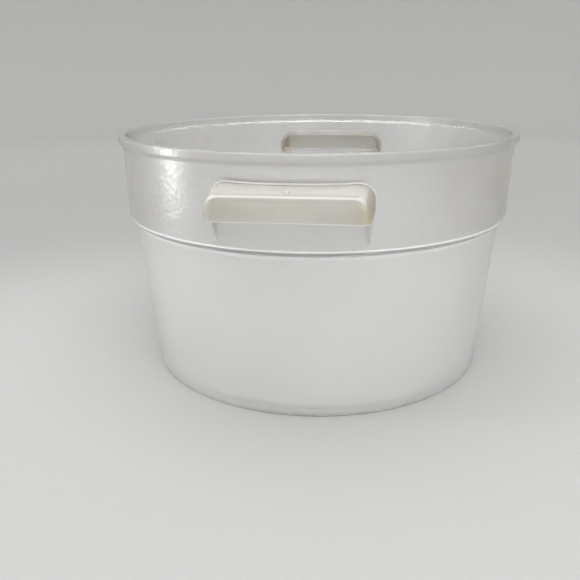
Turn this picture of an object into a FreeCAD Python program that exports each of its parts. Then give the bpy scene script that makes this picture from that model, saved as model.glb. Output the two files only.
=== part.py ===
import FreeCAD, Part
import math
import os

# A round storage tub with two finger grips, in millimetres. +Z is up, the origin is the centre of
# the base on the surface it stands on, and the grips lie on the Y axis, the front one at -Y.

os.makedirs("parts", exist_ok=True)
V = FreeCAD.Vector
ORIGIN = V(0, 0, 0)
UP = V(0, 0, 1)

# Tub: a tapered body, a wider band above it, and a lip round the rim
HEIGHT = 148.0
WALL = 2.0
RIM_R = 125.0
LIP_FACE = 4.2
LIP_SLOPE = 2.2
BAND_TOP_R = 122.4
BAND_BOTTOM_R = 121.6
BAND_BOTTOM_Z = 96.3
BODY_TOP_R = 117.6
BASE_R = 110.0
FLOOR = 2.2
FOOT_DEPTH = 2.2
FOOT_WIDTH = 5.0
FOOT_DRAFT = 0.4
SHOULDER_ROUND = 3.4
FLOOR_ROUND = 4.0
BASE_ROUND = 1.0
EDGE_ROUND = 0.6
INLET_R = 4.0
INLET_DEPTH = 0.5
INLET_STUB_R = 1.4

# Grip: a hood on the outside of the band, open below and into a window
GRIP_REACH = 140.0
GRIP_ROOT = 112.0
GRIP_WALL = 1.5
GRIP_HALF_AT_ROOT = 40.8
GRIP_HALF_AT_FRONT = 39.4
GRIP_TOP_AT_ROOT = 133.4
GRIP_TOP_AT_FRONT = 131.4
GRIP_BOTTOM_Z = 118.1
GRIP_CORNER_R = 8.5
GRIP_FRONT_ROUND = 4.5
GRIP_LIP_ROUND = 0.5

# Legs under the ends of the hood, which bear on the outside of the band
LEG_INSIDE = 38.1
LEG_TOP_WIDTH = 2.2
LEG_END_WIDTH = 0.9
LEG_END_Z = 103.6
LEG_REACH = 130.0
LEG_FOOT = 5.0
LEG_OVERLAP = 3.0

# Window in the band, edged by a bead outside, with the hook above it and the two catches below it
WINDOW_BOTTOM_Z = 119.4
WINDOW_ROUND = 0.5
BEAD_WIDTH = 0.9
BEAD_HEIGHT = 0.5
BEAD_ROUND = 0.35
CLEARANCE = 0.2
WALL_GAP = 0.1
HOOK_HALF = 34.5
HOOK_TOP_Z = 135.4
HOOK_THICK = 1.2
CATCH_OUTER = 38.6
CATCH_WIDTH = 5.0
CATCH_ARM = 2.0
CATCH_ROOT = 1.5
CATCH_DROP = 1.8
CATCH_REACH = 1.4

# Moulding gate on top of each hood
GATE_AT = 133.4
GATE_WELL_R = 2.6
GATE_WELL_DEPTH = 0.5
GATE_STUB_R = 0.9
GATE_STUB_TIP_R = 0.63
GATE_STUB_HEIGHT = 0.7
GATE_STUB_ROOT = 0.3

LIP_BOTTOM_Z = HEIGHT - LIP_FACE
BAND_TOP_Z = LIP_BOTTOM_Z - LIP_SLOPE

# Cutting shapes run past what they cut, and edges are picked out by where they lie
SPARE = 8.0
FAR = 150.0
TOUCHING = 0.01


def rounded_wire(corners, y=0.0):
    """Closed wire in the plane at y, through (x, z, radius) corners rounded by tangent arcs."""
    points = [V(x, y, z) for x, z, radius in corners]
    edges = []
    first_start = None
    last_end = None
    for i, (x, z, radius) in enumerate(corners):
        corner = points[i]
        start = corner
        end = corner
        arc = None
        if radius:
            back = (points[i - 1] - corner).normalize()
            ahead = (points[(i + 1) % len(points)] - corner).normalize()
            half_angle = back.getAngle(ahead) / 2
            reach = radius / math.tan(half_angle)
            inward = (back + ahead).normalize()
            start = corner + back * reach
            end = corner + ahead * reach
            middle = corner + inward * (radius / math.sin(half_angle) - radius)
            arc = Part.Arc(start, middle, end).toShape()
        if last_end is not None:
            edges.append(Part.LineSegment(last_end, start).toShape())
        else:
            first_start = start
        if arc:
            edges.append(arc)
        last_end = end
    edges.append(Part.LineSegment(last_end, first_start).toShape())
    return Part.Wire(edges)


def turned(corners):
    """Solid of revolution about Z from (radius, z, corner radius) points."""
    return Part.Face(rounded_wire(corners)).revolve(ORIGIN, UP, 360)


def prism_x(points, x_low, x_high):
    """Prism along X with a polygon of (y, z) points."""
    wire = Part.makePolygon([V(x_low, y, z) for y, z in points + points[:1]])
    return Part.Face(wire).extrude(V(x_high - x_low, 0, 0))


def prism_y(points, y_low, y_high):
    """Prism along Y with a polygon of (x, z) points."""
    wire = Part.makePolygon([V(x, y_low, z) for x, z in points + points[:1]])
    return Part.Face(wire).extrude(V(0, y_high - y_low, 0))


def box(x, y, z):
    """Box between (low, high) pairs."""
    size = (x[1] - x[0], y[1] - y[0], z[1] - z[0])
    return Part.makeBox(*size, V(x[0], y[0], z[0]))


def band_radius(z):
    """Outer radius of the band at height z."""
    share = (z - BAND_BOTTOM_Z) / (BAND_TOP_Z - BAND_BOTTOM_Z)
    return BAND_BOTTOM_R + (BAND_TOP_R - BAND_BOTTOM_R) * share


def body_radius(z):
    """Outer radius of the body at height z."""
    return BASE_R + (BODY_TOP_R - BASE_R) * z / BAND_BOTTOM_Z


def inside_band(depth, z_low, z_high):
    """Solid core that ends at a depth below the band's outer surface."""
    r_low = band_radius(z_low) - depth
    r_high = band_radius(z_high) - depth
    return turned([(0, z_low, 0), (r_low, z_low, 0), (r_high, z_high, 0), (0, z_high, 0)])


def band_sleeve(outer_depth, inner_depth, z_low, z_high):
    """Ring that follows the band, between two depths below its outer surface."""
    bottom = band_radius(z_low)
    top = band_radius(z_high)
    return turned([
        (bottom - inner_depth, z_low, 0),
        (bottom - outer_depth, z_low, 0),
        (top - outer_depth, z_high, 0),
        (top - inner_depth, z_high, 0),
    ])


def along_grip(root_value, front_value, y):
    """Value at a distance y from the axis, between the hood's root and its front."""
    return root_value + (front_value - root_value) * (y - GRIP_ROOT) / (GRIP_REACH - GRIP_ROOT)


def grip_top(y):
    """Height of the hood's top face at a distance y from the axis."""
    return along_grip(GRIP_TOP_AT_ROOT, GRIP_TOP_AT_FRONT, y)


def grip_section(y, grow, bottom_z):
    """Arched outline of the hood at a distance y from the axis, grown evenly."""
    half = along_grip(GRIP_HALF_AT_ROOT, GRIP_HALF_AT_FRONT, y) + grow
    top = grip_top(y) + grow
    corner = GRIP_CORNER_R + grow
    outline = [(-half, bottom_z, 0), (-half, top, corner), (half, top, corner), (half, bottom_z, 0)]
    return rounded_wire(outline, -y)


def hood_block(grow=0.0, root=GRIP_ROOT, reach=GRIP_REACH, bottom_z=LEG_END_Z - SPARE / 2):
    """Solid drafted block between the hood's outlines at its root and its front."""
    sections = [grip_section(root, grow, bottom_z), grip_section(reach, grow, bottom_z)]
    return Part.makeLoft(sections, True, True)


def round_front(block, y, radius):
    """Round the edges of a hood block's front face, apart from the bottom one."""
    edges = []
    for edge in block.Edges:
        bounds = edge.BoundBox
        on_front = abs(bounds.YMin + y) < TOUCHING and abs(bounds.YMax + y) < TOUCHING
        level_bottom = bounds.ZLength < TOUCHING and bounds.ZMin < GRIP_BOTTOM_Z
        if on_front and not level_bottom:
            edges.append(edge)
    return block.makeFillet(radius, edges)


def window_block(grow):
    """Solid block through the band over the window, grown evenly at the sides and the top."""
    return hood_block(grow, GRIP_ROOT - SPARE, GRIP_REACH - SPARE, WINDOW_BOTTOM_Z)


def make_window():
    """Cutter for the window that the hood passes through."""
    cutter = window_block(CLEARANCE)
    lower_corners = []
    for edge in cutter.Edges:
        bounds = edge.BoundBox
        if bounds.YLength > SPARE and bounds.ZMax < WINDOW_BOTTOM_Z + TOUCHING:
            lower_corners.append(edge)
    return cutter.makeFillet(WINDOW_ROUND, lower_corners)


def on_bead_face(edge):
    """True if the edge lies on the outer face of the bead."""
    for share in (0, 0.25, 0.5, 0.75, 1):
        point = edge.valueAt(edge.FirstParameter + (edge.LastParameter - edge.FirstParameter) * share)
        proud = math.hypot(point.x, point.y) - band_radius(point.z)
        if proud < BEAD_HEIGHT - 2 * TOUCHING:
            return False
    return True


def make_bead():
    """Raised bead on the outside of the band, along the sides and the top of the window."""
    frame = window_block(CLEARANCE + BEAD_WIDTH).cut(window_block(CLEARANCE))
    bead = frame.common(band_sleeve(-BEAD_HEIGHT, WALL / 2, WINDOW_BOTTOM_Z, BAND_TOP_Z))
    return bead.makeFillet(BEAD_ROUND, [edge for edge in bead.Edges if on_bead_face(edge)])


def make_tub():
    """The whole tub, turned from one outline, with a beaded window behind each grip."""
    ledge_z = BAND_BOTTOM_Z + WALL
    inner_band_top = band_radius(HEIGHT) - WALL
    inner_band_bottom = band_radius(ledge_z) - WALL
    inner_body_top = body_radius(ledge_z) - WALL
    floor_top = FOOT_DEPTH + FLOOR
    inner_base = body_radius(floor_top) - WALL
    foot_inner = BASE_R - FOOT_WIDTH
    tub = turned([
        (0, FOOT_DEPTH, 0),
        (foot_inner, FOOT_DEPTH, EDGE_ROUND),
        (foot_inner + FOOT_DRAFT, 0, EDGE_ROUND),
        (BASE_R, 0, BASE_ROUND),
        (BODY_TOP_R, BAND_BOTTOM_Z, EDGE_ROUND),
        (BAND_BOTTOM_R, BAND_BOTTOM_Z, SHOULDER_ROUND),
        (BAND_TOP_R, BAND_TOP_Z, EDGE_ROUND),
        (RIM_R, LIP_BOTTOM_Z, EDGE_ROUND),
        (RIM_R, HEIGHT, EDGE_ROUND),
        (inner_band_top, HEIGHT, EDGE_ROUND),
        (inner_band_bottom, ledge_z, SHOULDER_ROUND - WALL + EDGE_ROUND),
        (inner_body_top, ledge_z, EDGE_ROUND + WALL / 2),
        (inner_base, floor_top, FLOOR_ROUND),
        (0, floor_top, 0),
    ])
    window = make_window()
    tub = tub.cut(window)
    tub = tub.cut(window.rotated(ORIGIN, UP, 180))
    bead = make_bead()
    tub = tub.fuse(bead)
    tub = tub.fuse(bead.rotated(ORIGIN, UP, 180))
    inlet = Part.makeCylinder(INLET_R, INLET_DEPTH, V(0, 0, FOOT_DEPTH))
    stub = Part.makeCylinder(INLET_STUB_R, INLET_DEPTH, V(0, 0, FOOT_DEPTH))
    return tub.cut(inlet.cut(stub))


def make_hood():
    """Open shell of the hood, before it is trimmed to the wall."""
    outer = round_front(hood_block(), GRIP_REACH, GRIP_FRONT_ROUND)
    inner_reach = GRIP_REACH - GRIP_WALL
    inner = hood_block(-GRIP_WALL, GRIP_ROOT - GRIP_WALL, inner_reach, LEG_END_Z - SPARE)
    inner = round_front(inner, inner_reach, GRIP_FRONT_ROUND - GRIP_WALL)
    hood = outer.cut(inner)
    hood = hood.cut(box((-FAR, FAR), (-FAR, 0), (0, GRIP_BOTTOM_Z)))
    rim_edges = []
    for edge in hood.Edges:
        bounds = edge.BoundBox
        level = abs(bounds.ZMax - GRIP_BOTTOM_Z) < TOUCHING and bounds.ZLength < TOUCHING
        if level and bounds.YMin < -GRIP_ROOT - GRIP_WALL:
            rim_edges.append(edge)
    return hood.makeFillet(GRIP_LIP_ROUND, rim_edges)


def make_leg():
    """Tapered web under one end of the hood, on the +X side."""
    top_z = GRIP_BOTTOM_Z + LEG_OVERLAP
    side = prism_x([
        (-GRIP_ROOT, LEG_END_Z),
        (-GRIP_ROOT - LEG_FOOT, LEG_END_Z),
        (-LEG_REACH, GRIP_BOTTOM_Z),
        (-LEG_REACH, top_z),
        (-GRIP_ROOT, top_z),
    ], LEG_INSIDE - LEG_TOP_WIDTH, LEG_INSIDE + 2 * LEG_TOP_WIDTH)
    face = prism_y([
        (LEG_INSIDE, LEG_END_Z),
        (LEG_INSIDE + LEG_END_WIDTH, LEG_END_Z),
        (LEG_INSIDE + LEG_TOP_WIDTH, GRIP_BOTTOM_Z),
        (LEG_INSIDE + LEG_TOP_WIDTH, top_z),
        (LEG_INSIDE, top_z),
    ], -GRIP_REACH, -GRIP_ROOT)
    return side.common(face).common(hood_block())


def make_catch():
    """Catch on one leg, on the +X side, that drops behind the window's lower edge."""
    arm_low = WINDOW_BOTTOM_Z + CLEARANCE
    arm_high = arm_low + CATCH_ARM
    low = CATCH_OUTER - CATCH_WIDTH
    inner = WALL + WALL_GAP
    arm = band_sleeve(-CATCH_ROOT, inner, arm_low, arm_high)
    hook = band_sleeve(inner, inner + CATCH_REACH, WINDOW_BOTTOM_Z - CATCH_DROP, arm_high)
    slot = box((low, CATCH_OUTER), (-FAR, 0), (0, HEIGHT))
    return arm.fuse(hook).common(slot)


def make_gate(hood):
    """Add the gate stub, in its shallow well, to the top of the hood."""
    top = grip_top(GATE_AT)
    ball_r = (GATE_WELL_R ** 2 + GATE_WELL_DEPTH ** 2) / (2 * GATE_WELL_DEPTH)
    well = Part.makeSphere(ball_r, V(0, -GATE_AT, top - GATE_WELL_DEPTH + ball_r))
    sunk = GATE_WELL_DEPTH + GATE_STUB_ROOT
    foot = V(0, -GATE_AT, top - sunk)
    stub = Part.makeCone(GATE_STUB_R, GATE_STUB_TIP_R, GATE_STUB_HEIGHT + sunk, foot)
    return hood.cut(well).fuse(stub)


def make_grip():
    """The front grip, in place."""
    grip = make_gate(make_hood())
    leg = make_leg()
    catch = make_catch()
    mirror = (ORIGIN, V(1, 0, 0))
    for piece in (leg, leg.mirror(*mirror)):
        grip = grip.fuse(piece)
    inner = WALL + WALL_GAP
    grip = grip.cut(inside_band(0, BAND_BOTTOM_Z, WINDOW_BOTTOM_Z + CLEARANCE))
    grip = grip.cut(inside_band(inner, BAND_BOTTOM_Z, HEIGHT))
    for piece in (catch, catch.mirror(*mirror)):
        grip = grip.fuse(piece)
    hook_bottom = grip_top(BAND_TOP_R - WALL) - GRIP_WALL
    hook = band_sleeve(inner, inner + HOOK_THICK, hook_bottom, HOOK_TOP_Z)
    hook = hook.common(box((-HOOK_HALF, HOOK_HALF), (-FAR, 0), (0, HEIGHT)))
    return grip.fuse(hook).removeSplitter()


tub = make_tub()
front_grip = make_grip()
rear_grip = front_grip.rotated(ORIGIN, UP, 180)

for name, shape in (("tub", tub), ("front_grip", front_grip), ("rear_grip", rear_grip)):
    solids = shape.Solids
    print(name, "solids", len(solids), "valid", shape.isValid(), "volume", round(shape.Volume))
    print(name, shape.BoundBox)
    solid = solids[0]
    solid.exportStep("parts/%s.step" % name)
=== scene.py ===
import math
import bpy
from mathutils import Matrix, Vector


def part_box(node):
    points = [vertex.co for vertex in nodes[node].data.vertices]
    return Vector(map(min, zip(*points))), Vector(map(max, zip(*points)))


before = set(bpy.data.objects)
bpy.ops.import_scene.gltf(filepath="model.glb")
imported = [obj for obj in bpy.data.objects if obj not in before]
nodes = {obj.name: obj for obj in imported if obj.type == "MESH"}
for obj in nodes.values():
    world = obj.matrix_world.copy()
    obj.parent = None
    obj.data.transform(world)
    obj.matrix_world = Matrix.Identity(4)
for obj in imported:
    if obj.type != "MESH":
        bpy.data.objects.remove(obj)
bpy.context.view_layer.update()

# Roughness stays above this. A little lower, the render's noise filter starts to take a surface for
# clear, and leaves false hard edges where a pattern crosses that value.
FROSTED = 0.288
PLASTIC_IOR = 1.49


# ---------------------------------------------------------------- node helpers

class Nodes:
    """Short ways to make and join shader nodes in one material."""

    def __init__(self, name):
        self.mat = bpy.data.materials.new(name)
        self.mat.use_nodes = True
        self.tree = self.mat.node_tree
        self.tree.nodes.clear()
        self.out = self.add("ShaderNodeOutputMaterial")
        self.shader = self.add("ShaderNodeBsdfPrincipled")
        self.join(self.shader.outputs["BSDF"], self.out.inputs["Surface"])
        self.place = self.add("ShaderNodeTexCoord").outputs["Object"]
        split = self.add("ShaderNodeSeparateXYZ")
        self.join(self.place, split.inputs[0])
        self.x, self.y, self.z = split.outputs

    def add(self, kind, **settings):
        node = self.tree.nodes.new(kind)
        for key, value in settings.items():
            setattr(node, key, value)
        return node

    def join(self, source, target):
        """Set the target socket to a number or a colour, or link it to another socket."""
        if isinstance(source, (int, float)):
            target.default_value = source
        elif isinstance(source, tuple):
            target.default_value = source + (1.0,) if len(target.default_value) == 4 else source
        else:
            self.tree.links.new(source, target)

    def fill(self, values):
        """Give each named socket of the shader its value."""
        for socket, value in values.items():
            self.join(value, self.shader.inputs[socket])

    def math(self, kind, a, b=0.0, clamp=False):
        node = self.add("ShaderNodeMath", operation=kind, use_clamp=clamp)
        for socket, value in zip(node.inputs, (a, b)):
            self.join(value, socket)
        return node.outputs[0]

    def plus(self, a, b):
        return self.math("ADD", a, b)

    def minus(self, a, b):
        return self.math("SUBTRACT", a, b)

    def times(self, first, *others):
        product = first
        for other in others:
            product = self.math("MULTIPLY", product, other)
        return product

    def distance(self, a, b):
        """How far the point (a, b) is from the origin."""
        return self.math("SQRT", self.plus(self.times(a, a), self.times(b, b)))

    def clamp(self, value):
        return self.math("ADD", value, 0.0, clamp=True)

    def shift(self, value, mask, amount):
        """The value, moved by the amount where the mask is 1."""
        return self.plus(value, self.times(mask, amount))

    def vary(self, value, pattern, amount):
        """The value, moved up and down by a pattern whose middle is 0.5."""
        return self.shift(value, self.minus(pattern, 0.5), amount)

    def ramp(self, value, low, high, out_low=0.0, out_high=1.0):
        """Smooth step from out_low to out_high as the value goes from low to high."""
        node = self.add("ShaderNodeMapRange", interpolation_type="SMOOTHSTEP")
        for socket, number in zip(node.inputs, (value, low, high, out_low, out_high)):
            self.join(number, socket)
        return node.outputs[0]

    def fade(self, value, low, high):
        """Smooth step from 1 to 0 as the value goes from low to high."""
        return self.ramp(value, low, high, 1.0, 0.0)

    def blend(self, mask, off, on):
        """A number that is off where the mask is 0 and on where it is 1."""
        return self.ramp(mask, 0.0, 1.0, off, on)

    def between(self, value, low, high, soft):
        """1 between low and high, fading to 0 over soft on both sides."""
        rise = self.ramp(value, low - soft, low + soft)
        fall = self.fade(value, high - soft, high + soft)
        return self.times(rise, fall)

    def stretched(self, scale, turn=(0.0, 0.0, 0.0)):
        """Object coordinates with their own scale along each axis, turned first."""
        node = self.add("ShaderNodeMapping")
        self.join(self.place, node.inputs["Vector"])
        self.join(turn, node.inputs["Rotation"])
        self.join(scale, node.inputs["Scale"])
        return node.outputs[0]

    def noise(self, scale=1.0, detail=0.0, rough=0.5, where=None):
        node = self.add("ShaderNodeTexNoise")
        self.join(self.place if where is None else where, node.inputs["Vector"])
        self.join(scale, node.inputs["Scale"])
        self.join(detail, node.inputs["Detail"])
        self.join(rough, node.inputs["Roughness"])
        return node.outputs["Fac"]

    def mix(self, share, a, b):
        """Colour a where the share is 0 and colour b where it is 1."""
        node = self.add("ShaderNodeMix", data_type="RGBA")
        for socket, value in ((node.inputs[0], share), (node.inputs[6], a), (node.inputs[7], b)):
            self.join(value, socket)
        return node.outputs[2]

    def tint(self, colour, tints):
        """The colour with each tint (mask, tint colour, strength) laid over it in turn."""
        for mask, tone, strength in tints:
            colour = self.mix(self.times(mask, strength), colour, tone)
        return colour

    def bump(self, height, strength, distance, normal=None):
        node = self.add("ShaderNodeBump")
        self.join(strength, node.inputs["Strength"])
        self.join(distance, node.inputs["Distance"])
        self.join(height, node.inputs["Height"])
        if normal is not None:
            self.join(normal, node.inputs["Normal"])
        return node.outputs[0]


# ---------------------------------------------------------------- tub plastic

# Places on the tub, in metres. A pair is the low and the high end of a range.
RIM_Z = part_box("tub")[1].z
LIP_Z = RIM_Z - 0.0042
STEP_Z = 0.0963
BAND_FOOT_R = 0.1216
BAND_SLOPE = 0.0008 / 0.0453
BAND_START_Z = (STEP_Z - 0.0008, STEP_Z + 0.0006)
OUTER_FACE_OUT = (-0.0010, -0.0004)
BEAD_OUT = (0.00008, 0.00030)
BEAD_Z = (0.1190, 0.1380)
SHOULDER_Z = (STEP_Z + 0.0027, STEP_Z + 0.0038)
UNDER_STEP_Z = (STEP_Z - 0.0024, STEP_Z - 0.0008)
LIP_FACE_Z = (LIP_Z - 0.0012, RIM_Z - 0.0010)
STAIN_X = (0.060, 0.112)
STAIN_Z = (STEP_Z + 0.004, LIP_Z - 0.008)
GRIME_Z = (0.0, 0.003)
WORN_RIM_Z = (RIM_Z - 0.0007, RIM_Z)
WORN_STEP_Z = (STEP_Z, STEP_Z + 0.0015)

# Moulding flow lines run up the wall, and use marks lean across it: pattern scale along each axis
FLOW_SCALE = (90.0, 90.0, 7.0)
MARK_SCALE = (420.0, 420.0, 14.0)
MARK_TURN = (0.25, 0.2, 0.1)

MILKY = (0.935, 0.932, 0.920)
MILKY_LIGHT = (0.970, 0.966, 0.956)
# Browner in smears towards the left and right sides of the band
STAIN_BROWN = (0.72, 0.65, 0.54)
GRIME_GREY = (0.66, 0.64, 0.61)
LIP_GREY = (0.72, 0.715, 0.705)
# Painted highlight: a light, less clear line on the raised ring round each grip window
BEAD_LIGHT = (0.99, 0.985, 0.975)
# Painted highlights: a light line on the step's rounding and a light band just below the step
SHOULDER_LIGHT = (0.985, 0.982, 0.976)


def tub_masks(n, mottle):
    """Masks that are 1 on a feature of the tub and 0 off it."""
    wall_radius = n.plus(BAND_FOOT_R, n.times(n.minus(n.z, STEP_Z), BAND_SLOPE))
    out = n.minus(n.distance(n.x, n.y), wall_radius)
    outside = n.ramp(out, *OUTER_FACE_OUT)
    smear = n.ramp(n.noise(scale=30.0, detail=2.0), 0.25, 0.75)
    at_side = n.ramp(n.math("ABSOLUTE", n.x), *STAIN_X)
    patch = n.ramp(n.noise(scale=24.0, detail=1.0), 0.48, 0.65)
    streaks = n.noise(detail=2.0, where=n.stretched(MARK_SCALE, MARK_TURN))
    in_band = n.ramp(n.z, *BAND_START_Z)
    return {
        "band": in_band,
        "body": n.minus(1.0, in_band),
        # Painted highlight line on the raised ring round each grip window
        "bead": n.times(n.ramp(out, *BEAD_OUT), n.between(n.z, *BEAD_Z, soft=0.0002)),
        # Painted highlight lines on the step's rounding and just below the step
        "shoulder": n.times(outside, n.between(n.z, *SHOULDER_Z, soft=0.0003)),
        "under": n.between(n.z, *UNDER_STEP_Z, soft=0.0004),
        "lip": n.between(n.z, *LIP_FACE_Z, soft=0.0006),
        "stain": n.times(at_side, smear, n.between(n.z, *STAIN_Z, soft=0.008)),
        "grime": n.times(n.between(n.z, *GRIME_Z, soft=0.0015), n.ramp(mottle, 0.3, 0.7)),
        "worn_rim": n.between(n.z, *WORN_RIM_Z, soft=0.0004),
        "worn_step": n.between(n.z, *WORN_STEP_Z, soft=0.0008),
        "marks": n.times(n.ramp(streaks, 0.60, 0.74), patch),
    }


def tub_plastic():
    """Frosted natural polypropylene: a milky, matt body below a clearer and glossier band, with painted
    highlight lines.
    """
    n = Nodes("tub_plastic")
    cloud = n.noise(scale=11.0, detail=3.0, rough=0.55)
    mottle = n.noise(scale=170.0, detail=1.0)
    peel = n.noise(scale=420.0)
    flow = n.noise(detail=1.0, where=n.stretched(FLOW_SCALE))
    on = tub_masks(n, mottle)

    colour = n.tint(n.mix(n.ramp(cloud, 0.35, 0.68), MILKY, MILKY_LIGHT), (
        (on["stain"], STAIN_BROWN, 0.50),
        (on["grime"], GRIME_GREY, 0.35),
        (on["lip"], LIP_GREY, 0.50),
        # Painted highlight on the raised ring round each grip window
        (on["bead"], BEAD_LIGHT, 1.0),
        # Painted highlights on the step's rounding and just below the step
        (on["shoulder"], SHOULDER_LIGHT, 1.0),
        (on["under"], SHOULDER_LIGHT, 1.0),
    ))

    rough = n.blend(on["band"], 0.44, 0.31)
    rough = n.vary(rough, cloud, 0.14)
    rough = n.vary(rough, flow, 0.10)
    rougher = {"worn_rim": 0.05, "worn_step": 0.05, "marks": 0.12}
    for feature, amount in rougher.items():
        rough = n.shift(rough, on[feature], amount)

    clear = n.ramp(cloud, 0.3, 0.7, 0.86, 0.80)
    cloudier = {"body": 0.26, "stain": 0.10, "shoulder": 0.8, "under": 0.4, "bead": 0.7}
    for feature, amount in cloudier.items():
        clear = n.shift(clear, on[feature], -amount)

    normal = n.bump(flow, strength=0.06, distance=0.0008)
    normal = n.bump(mottle, strength=0.22, distance=0.0007, normal=normal)
    normal = n.bump(n.times(peel, on["band"]), strength=0.22, distance=0.0006, normal=normal)

    n.fill({
        "Base Color": colour,
        "Roughness": n.math("MAXIMUM", rough, FROSTED),
        "Transmission Weight": n.clamp(clear),
        "Coat Weight": n.blend(on["band"], 0.10, 0.70),
        "Coat Roughness": 0.20,
        "IOR": PLASTIC_IOR,
        "Subsurface Weight": 1.0,
        "Subsurface Radius": (1.0, 1.0, 1.0),
        "Subsurface Scale": 0.004,
        "Normal": normal,
        "Coat Normal": normal,
    })
    return n.mat


# ---------------------------------------------------------------- grip plastic

# Places on a grip, in metres. Depth is the distance out from the tub's middle, along Y. The hood's top
# starts at HOOD_ROOT_DEPTH and HOOD_ROOT_Z and falls outwards. Below is measured down from that top.
HOOD_ROOT_DEPTH = 0.112
HOOD_ROOT_Z = 0.1334
HOOD_FALL = 0.002 / 0.028
HOOD_EDGE_Z = 0.1181
TOP_FACE_BELOW = (0.0006, 0.0009)
UPPER_Z = (0.1296, 0.1312)
ROUNDING_Z = (0.1280, 0.1316)
ROUNDING_DEPTH = (0.1352, 0.1372)
YELLOW_END_X = (0.026, 0.0395)
POCKET_HALF_WIDTH = (0.0365, 0.0375)
POCKET_INNER_DEPTH = (0.1226, 0.1236)
POCKET_OUTER_DEPTH = (0.1389, 0.1393)
POCKET_BELOW = (0.0006, 0.0010)
LOWER_EDGE_Z = (HOOD_EDGE_Z, HOOD_EDGE_Z + 0.0006)
LOWER_EDGE_DEPTH = (0.1245, 0.1255)
LEG_TOP_Z = (HOOD_EDGE_Z - 0.0016, HOOD_EDGE_Z - 0.0002)
GATE_DEPTH = 0.1334
GATE_WELL_R = (0.0009, 0.0022)
GATE_STUB_R = (0.0007, 0.0010)

CREAM = (0.71, 0.685, 0.635)
CREAM_LIGHT = (0.77, 0.75, 0.70)
# The right end, seen from outside, is yellower and darker
AGED_YELLOW = (0.70, 0.61, 0.44)
# Painted light: the hood's top is lighter and a little less clear
UPPER_LIGHT = (0.89, 0.87, 0.82)
# Painted shade: dims the light on the hood's front-top fillet
ROUNDING_GREY = (0.52, 0.51, 0.475)
# Painted light inside the hood
POCKET_LIGHT = (0.97, 0.945, 0.875)
# Painted shade in a ring round the gate nub, and a painted highlight on its tip
GATE_WELL_BROWN = (0.45, 0.41, 0.34)
GATE_STUB_LIGHT = (0.985, 0.98, 0.965)
# Painted highlight: a light, less clear line along the hood's lower rim
EDGE_LIGHT = (0.98, 0.975, 0.96)
# Painted light: the legs are made lighter
LEG_LIGHT = (0.98, 0.978, 0.972)


def grip_masks(n, mottle):
    """Masks that are 1 on a feature of the grip and 0 off it."""
    depth = n.math("ABSOLUTE", n.y)
    hood_top = n.minus(HOOD_ROOT_Z, n.times(n.minus(depth, HOOD_ROOT_DEPTH), HOOD_FALL))
    below = n.minus(hood_top, n.z)
    on_top = n.fade(below, *TOP_FACE_BELOW)
    to_gate = n.distance(n.x, n.minus(depth, GATE_DEPTH))
    right_seen_from_outside = n.times(n.x, n.math("SIGN", n.y), -1.0)
    half_width = n.fade(n.math("ABSOLUTE", n.x), *POCKET_HALF_WIDTH)
    pocket_depth = n.times(n.ramp(depth, *POCKET_INNER_DEPTH), n.fade(depth, *POCKET_OUTER_DEPTH))
    return {
        "aged": n.times(n.ramp(right_seen_from_outside, *YELLOW_END_X), n.ramp(mottle, 0.2, 0.8, 0.6, 1.0)),
        "upper": n.times(n.ramp(n.z, *UPPER_Z), n.ramp(mottle, 0.3, 0.7, 0.5, 1.0)),
        "rounding": n.times(n.between(n.z, *ROUNDING_Z, soft=0.0010), n.ramp(depth, *ROUNDING_DEPTH)),
        "pocket": n.times(half_width, pocket_depth, n.ramp(below, *POCKET_BELOW)),
        "well": n.times(n.between(to_gate, *GATE_WELL_R, soft=0.0003), on_top),
        "stub": n.times(n.fade(to_gate, *GATE_STUB_R), on_top),
        "edge": n.times(n.between(n.z, *LOWER_EDGE_Z, soft=0.0002), n.ramp(depth, *LOWER_EDGE_DEPTH)),
        "leg": n.fade(n.z, *LEG_TOP_Z),
    }


def grip_plastic():
    """Aged cream plastic, translucent, with one yellower end, painted light edges, painted lighter legs and
    more painted light and shade.
    """
    n = Nodes("grip_plastic")
    cloud = n.noise(scale=38.0, detail=2.0)
    mottle = n.noise(scale=220.0)
    peel = n.noise(scale=420.0)
    on = grip_masks(n, mottle)

    colour = n.tint(n.mix(n.ramp(cloud, 0.35, 0.68), CREAM, CREAM_LIGHT), (
        (on["aged"], AGED_YELLOW, 0.70),
        # Painted light on the hood's top
        (on["upper"], UPPER_LIGHT, 0.8),
        # Painted shade on the hood's front-top fillet
        (on["rounding"], ROUNDING_GREY, 0.8),
        # Painted light inside the hood
        (on["pocket"], POCKET_LIGHT, 1.0),
        # Painted shade round the gate nub and a painted highlight on its tip
        (on["well"], GATE_WELL_BROWN, 0.45),
        (on["stub"], GATE_STUB_LIGHT, 1.0),
        # Painted highlight along the hood's lower rim
        (on["edge"], EDGE_LIGHT, 1.0),
        # Painted light on the legs
        (on["leg"], LEG_LIGHT, 1.0),
    ))

    rough = n.vary(n.ramp(cloud, 0.3, 0.7, 0.38, 0.48), mottle, 0.12)

    clear = n.blend(on["leg"], 0.56, 0.42)
    cloudier = {"upper": 0.08, "stub": 0.3, "edge": 0.4}
    for feature, amount in cloudier.items():
        clear = n.shift(clear, on[feature], -amount)
    clear = n.shift(clear, n.minus(cloud, 0.4), -0.2)

    normal = n.bump(mottle, strength=0.08, distance=0.0003)
    normal = n.bump(peel, strength=0.04, distance=0.0002, normal=normal)

    n.fill({
        "Base Color": colour,
        "Roughness": n.math("MAXIMUM", rough, FROSTED),
        "Transmission Weight": n.clamp(clear),
        "Coat Weight": 0.22,
        "Coat Roughness": 0.22,
        "IOR": PLASTIC_IOR,
        "Subsurface Weight": 1.0,
        "Subsurface Radius": (1.0, 0.92, 0.8),
        "Subsurface Scale": 0.003,
        "Normal": normal,
        "Coat Normal": normal,
    })
    return n.mat


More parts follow.
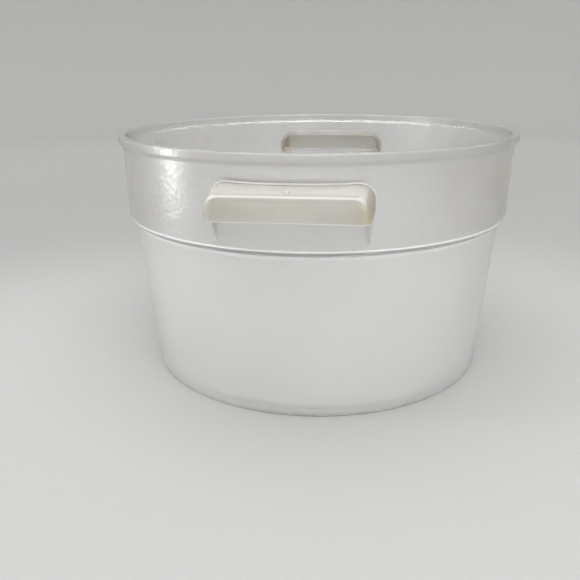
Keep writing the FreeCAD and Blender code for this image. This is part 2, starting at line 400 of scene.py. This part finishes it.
# ---------------------------------------------------------------- the object

def dress(node, material):
    obj = nodes[node]
    obj.data.materials.clear()
    obj.data.materials.append(material)


tub_material = tub_plastic()
grip_material = grip_plastic()
dress("tub", tub_material)
dress("front_grip", grip_material)
dress("rear_grip", grip_material)


# ---------------------------------------------------------------- stage

# Rings of tone on the floor are centred a little in front of the tub: painted shade makes a darker ring
# round the tub, paler again towards the wall
RINGS_CENTRE_Y = -0.12
NEAR_RING = (0.27, 0.50)
FAR_RING = (0.52, 1.50)
FLOOR_MIDDLE = (0.49, 0.49, 0.483)
FLOOR_DARKER = (0.41, 0.41, 0.405)
WALL_PALE = (0.50, 0.50, 0.495)


def sweep(floor_radius, bend, height, rings=4, steps=24, around=128):
    """Round floor whose edge bends up into a wall."""
    profile = [(floor_radius * i / rings, 0.0) for i in range(1, rings + 1)]
    for i in range(1, steps + 1):
        angle = math.pi / 2 * i / steps
        profile.append((floor_radius + bend * math.sin(angle), bend * (1 - math.cos(angle))))
    profile.append((floor_radius + bend, height))
    verts = [(0.0, 0.0, 0.0)]
    for radius, z in profile:
        for k in range(around):
            angle = 2 * math.pi * k / around
            verts.append((radius * math.cos(angle), radius * math.sin(angle), z))
    faces = [(0, 1 + k, 1 + (k + 1) % around) for k in range(around)]
    for i in range(len(profile) - 1):
        low = 1 + i * around
        for k in range(around):
            after = (k + 1) % around
            faces.append((low + k, low + around + k, low + around + after, low + after))
    mesh = bpy.data.meshes.new("sweep")
    mesh.from_pydata(verts, [], faces)
    mesh.polygons.foreach_set("use_smooth", [True] * len(mesh.polygons))
    mesh.update()
    obj = bpy.data.objects.new("sweep", mesh)
    bpy.context.scene.collection.objects.link(obj)
    return obj


def pale_floor():
    """Matt, pale floor, with painted shade a little darker in a ring round the tub."""
    n = Nodes("pale_floor")
    reach = n.distance(n.x, n.minus(n.y, RINGS_CENTRE_Y))
    tone = n.mix(n.ramp(reach, *NEAR_RING), FLOOR_MIDDLE, FLOOR_DARKER)
    tone = n.mix(n.ramp(reach, *FAR_RING), tone, WALL_PALE)
    n.fill({"Base Color": tone, "Roughness": 0.9, "Specular IOR Level": 0.2})
    return n.mat


backdrop = sweep(floor_radius=1.5, bend=0.7, height=1.5)
backdrop.data.materials.append(pale_floor())


# ---------------------------------------------------------------- light

def lamp(name, place, aim, size, watts, spread=180.0):
    """Rectangular area lamp that the camera doesn't see. The spread is in degrees."""
    data = bpy.data.lights.new(name, "AREA")
    data.shape = "RECTANGLE"
    data.size, data.size_y = size
    data.energy = watts
    data.spread = math.radians(spread)
    obj = bpy.data.objects.new(name, data)
    obj.location = place
    obj.rotation_euler = (Vector(aim) - Vector(place)).to_track_quat("-Z", "Y").to_euler()
    obj.visible_camera = False
    bpy.context.scene.collection.objects.link(obj)


world = bpy.data.worlds.new("studio")
world.use_nodes = True
sky = world.node_tree.nodes["Background"]
sky.inputs["Color"].default_value = (1.0, 0.998, 0.99, 1.0)
sky.inputs["Strength"].default_value = 1.08
bpy.context.scene.world = world

lamp("overhead", (-0.10, -0.35, 1.5), (0.0, -0.1, 0.0), size=(1.8, 1.8), watts=10.5)
lamp("front_fill", (0.55, -1.2, 0.75), (0.0, 0.0, 0.06), size=(1.2, 0.9), watts=7.5)
lamp("window_left", (-0.60, -0.18, 0.26), (0.0, -0.06, 0.26), size=(0.09, 0.5), watts=0.26, spread=70.0)

bpy.context.scene.view_settings.view_transform = "Standard"


# ---------------------------------------------------------------- camera

# Place in metres, turns in radians, lens and sensor in millimetres
CAMERA_AT = Vector((0.0440, -0.4224, 0.1875))
YAW, PITCH, ROLL = -0.1466, 0.3408, -0.0096
LENS_MM, SENSOR_MM = 39.569, 36.0

ahead = Vector((math.sin(YAW) * math.cos(PITCH), math.cos(YAW) * math.cos(PITCH), -math.sin(PITCH)))
level = Vector((math.cos(YAW), -math.sin(YAW), 0.0))
upward = level.cross(ahead)
right = level * math.cos(ROLL) + upward * math.sin(ROLL)
above = upward * math.cos(ROLL) - level * math.sin(ROLL)
turn = Matrix((right, above, -ahead)).transposed()

camera_data = bpy.data.cameras.new("camera")
camera_data.sensor_width = SENSOR_MM
camera_data.lens = LENS_MM
camera_data.clip_start = 0.01
camera = bpy.data.objects.new("camera", camera_data)
camera.matrix_world = Matrix.Translation(CAMERA_AT) @ turn.to_4x4()
bpy.context.scene.collection.objects.link(camera)
bpy.context.scene.camera = camera
